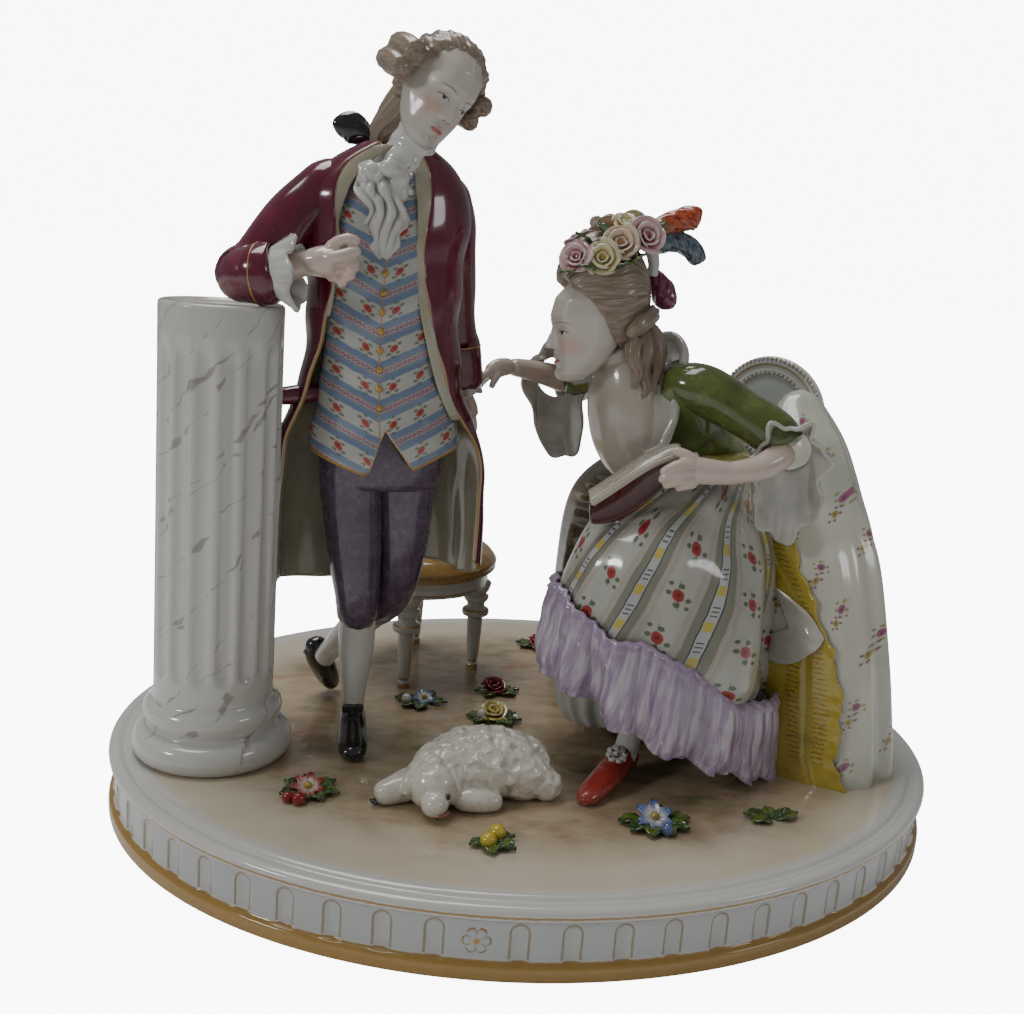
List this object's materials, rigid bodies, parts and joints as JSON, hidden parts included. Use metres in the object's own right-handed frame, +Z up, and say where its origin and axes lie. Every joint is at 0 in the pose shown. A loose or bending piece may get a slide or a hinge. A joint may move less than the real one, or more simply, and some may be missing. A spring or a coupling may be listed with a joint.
{
  "type": "courting couple figurine",
  "caption": "Glazed porcelain group on an oval plinth: a gentleman leaning on a fluted column, a seated lady with a book, a dog, a stool and applied flowers.",
  "frame": {"origin": "on the surface it stands on, under the middle of its bounding box", "axes": "+Z up, +X towards the seated lady along the plinth's long axis, -Y towards the front"},
  "size_m": [0.3, 0.252, 0.2652],
  "materials": {
    "painted_ground": "gloss glaze over brushed beige, brown and olive paint",
    "veined_white": "gloss glaze, white with painted grey-brown veins",
    "coat_maroon": "gloss overglaze enamel, deep maroon",
    "gown_white": "gloss glaze, white with painted flower sprigs",
    "chair_white": "gloss glaze with gilt bead rows",
    "stool_ochre": "gloss overglaze enamel, ochre",
    "dog_white": "gloss glaze, white with soft grey shading",
    "petal_colours": "gloss overglaze enamel, red, blue, yellow and white petals",
    "leaf_green": "gloss overglaze enamel, dark and light green",
    "plain_white": "gloss glaze, plain white, for mouldings, lace and stockings",
    "gilding": "burnished gold line",
    "skin": "gloss glaze, pale flesh tint",
    "hair_brown": "gloss glaze, brushed grey-brown",
    "bodice_green": "gloss overglaze enamel, mottled olive green",
    "petticoat_stripes": "gloss glaze, white with painted stripes and roses",
    "flounce_lilac": "gloss overglaze enamel, brushed lilac",
    "trim_yellow": "gloss overglaze enamel, yellow with brown hatch marks",
    "lining_grey": "gloss glaze, grey-brown wash",
    "waistcoat_chevrons": "gloss glaze, white with painted bands and sprigs",
    "breeches_plum": "gloss overglaze enamel, mottled plum",
    "shoe_black": "gloss overglaze enamel, black",
    "shoe_red": "gloss overglaze enamel, red"
  },
  "bodies": {
    "root": {"plinth": "painted_ground", "column": "veined_white", "gentleman": "coat_maroon", "lady": "gown_white", "chair": "chair_white", "stool": "stool_ochre", "dog": "dog_white", "flower_red_white": "petal_colours", "flower_small_blue": "petal_colours", "rose_yellow": "petal_colours", "rose_dark_red": "petal_colours", "rosebud_behind": "petal_colours", "berries_yellow": "petal_colours", "flower_blue": "petal_colours", "leaf_pair": "leaf_green"}
  },
  "joints": []
}
